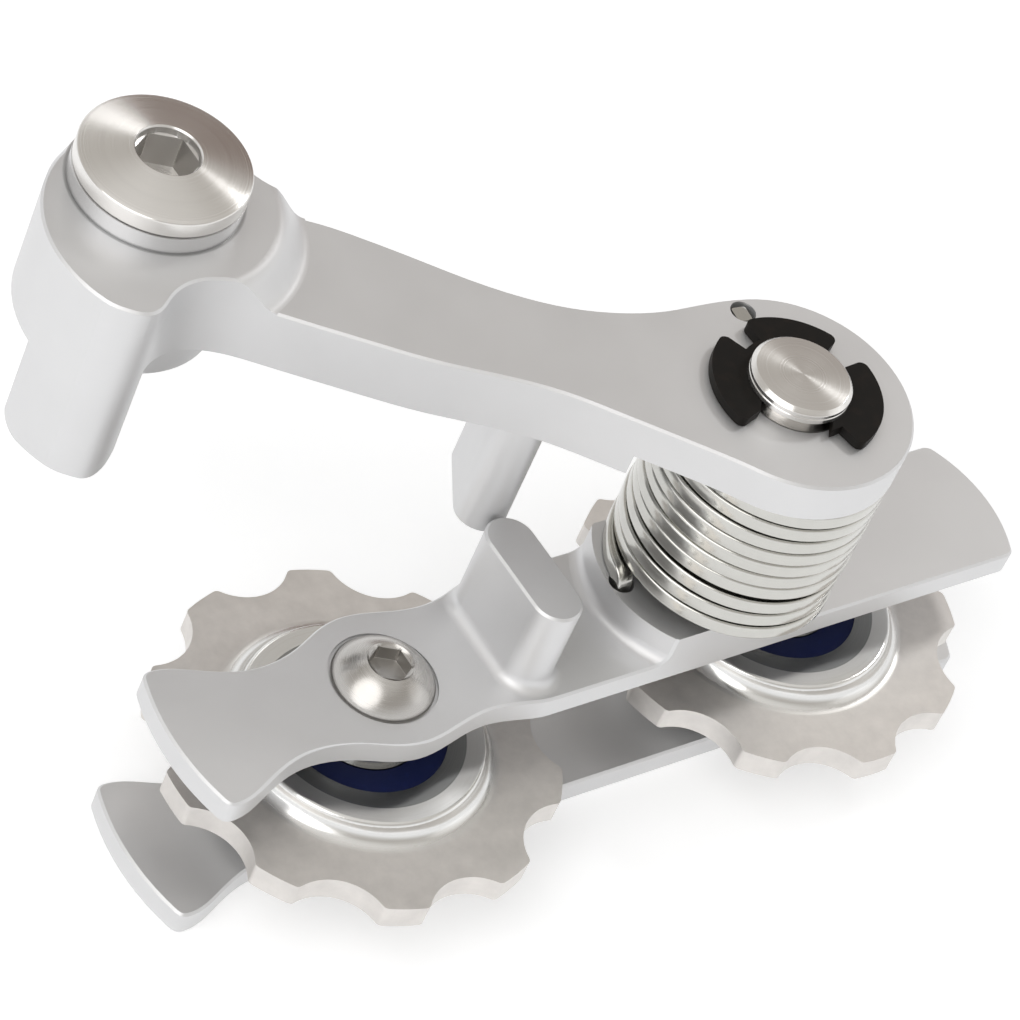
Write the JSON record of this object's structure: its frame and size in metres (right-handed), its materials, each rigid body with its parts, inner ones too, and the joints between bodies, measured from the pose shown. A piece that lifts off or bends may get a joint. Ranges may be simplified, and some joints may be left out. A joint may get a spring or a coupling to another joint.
{
  "type": "bicycle chain tensioner",
  "caption": "Sprung chain tensioner: an arm that bolts to the frame's hanger carries a pivoting cage with a guide wheel and a tension wheel on sealed bearings.",
  "frame": {"origin": "on the hanger bolt's axis, in the plane where the bolt's shoulder meets the face of the frame's hanger", "axes": "+Z along the hanger bolt and cage pivot, from the hanger towards the bolt's head; +X along the cage at rest, from the tension wheel to the guide wheel; -Y from the hanger bolt towards the cage"},
  "size_m": [0.1093, 0.0736, 0.0619],
  "materials": {
    "arm_aluminium": "bead blasted, clear anodised",
    "cage_aluminium": "bead blasted, clear anodised",
    "turned_aluminium": "turned and polished",
    "black_clip_steel": "black phosphated spring steel",
    "plated_spring_wire": "bright plated rectangular wire",
    "wheel_aluminium": "matte anodised web, polished hub",
    "bearing_steel": "ground bearing steel",
    "ball_steel": "polished steel balls",
    "seal_rubber": "navy moulded seal",
    "cage_nylon": "moulded ball cage",
    "stainless_bolt": "stainless button head bolt",
    "spacer_aluminium": "turned",
    "bush_bronze": "plain bearing bronze"
  },
  "bodies": {
    "hanger_bolt_body": {"hanger_bolt": "turned_aluminium", "hanger_bolt_clip": "black_clip_steel"},
    "arm_body": {"arm": "arm_aluminium", "hanger_bolt_bush": "bush_bronze", "pivot_bush": "bush_bronze", "torsion_spring": "plated_spring_wire"},
    "cage_body": {"outer_cage_plate": "cage_aluminium", "inner_cage_plate": "cage_aluminium", "pivot_pin": "turned_aluminium", "pivot_clip": "black_clip_steel", "tension_wheel_bolt": "stainless_bolt", "guide_wheel_bolt": "stainless_bolt", "tension_bearing_inner_ring": "bearing_steel", "tension_outer_spacer": "spacer_aluminium", "tension_inner_spacer": "spacer_aluminium", "guide_bearing_inner_ring": "bearing_steel", "guide_outer_spacer": "spacer_aluminium", "guide_inner_spacer": "spacer_aluminium"},
    "tension_wheel_body": {"tension_wheel": "wheel_aluminium", "tension_bearing_outer_ring": "bearing_steel", "tension_bearing_outer_seal": "seal_rubber", "tension_bearing_inner_seal": "seal_rubber"},
    "tension_ball_body": {"tension_bearing_balls": "ball_steel", "tension_bearing_ball_cage": "cage_nylon"},
    "guide_wheel_body": {"guide_wheel": "wheel_aluminium", "guide_bearing_outer_ring": "bearing_steel", "guide_bearing_outer_seal": "seal_rubber", "guide_bearing_inner_seal": "seal_rubber"},
    "guide_ball_body": {"guide_bearing_balls": "ball_steel", "guide_bearing_ball_cage": "cage_nylon"}
  },
  "joints": [
    {"name": "arm_swing", "type": "hinge", "parent": "hanger_bolt_body", "child": "arm_body", "pos_m": [0, 0, 0.009], "axis": [0, 0, 1], "continuous": true},
    {"name": "cage_pivot", "type": "hinge", "parent": "arm_body", "child": "cage_body", "pos_m": [0.0536, -0.0413, 0], "axis": [0, 0, 1], "range_deg": [0, 150], "stiffness_Nm_per_rad": 0.08, "springref_deg": -148.97, "deforming": ["torsion_spring"]},
    {"name": "tension_wheel_spin", "type": "hinge", "parent": "cage_body", "child": "tension_wheel_body", "pos_m": [0.0131, -0.0413, -0.02515], "axis": [0, 0, 1], "continuous": true},
    {"name": "tension_ball_orbit", "type": "hinge", "parent": "cage_body", "child": "tension_ball_body", "pos_m": [0.0131, -0.0413, -0.02515], "axis": [0, 0, 1], "continuous": true},
    {"name": "guide_wheel_spin", "type": "hinge", "parent": "cage_body", "child": "guide_wheel_body", "pos_m": [0.0681, -0.0413, -0.02515], "axis": [0, 0, 1], "continuous": true},
    {"name": "guide_ball_orbit", "type": "hinge", "parent": "cage_body", "child": "guide_ball_body", "pos_m": [0.0681, -0.0413, -0.02515], "axis": [0, 0, 1], "continuous": true}
  ],
  "couplings": [
    {"joint": "tension_ball_orbit", "follows": "tension_wheel_spin", "ratio": 0.632},
    {"joint": "guide_ball_orbit", "follows": "guide_wheel_spin", "ratio": 0.632}
  ]
}
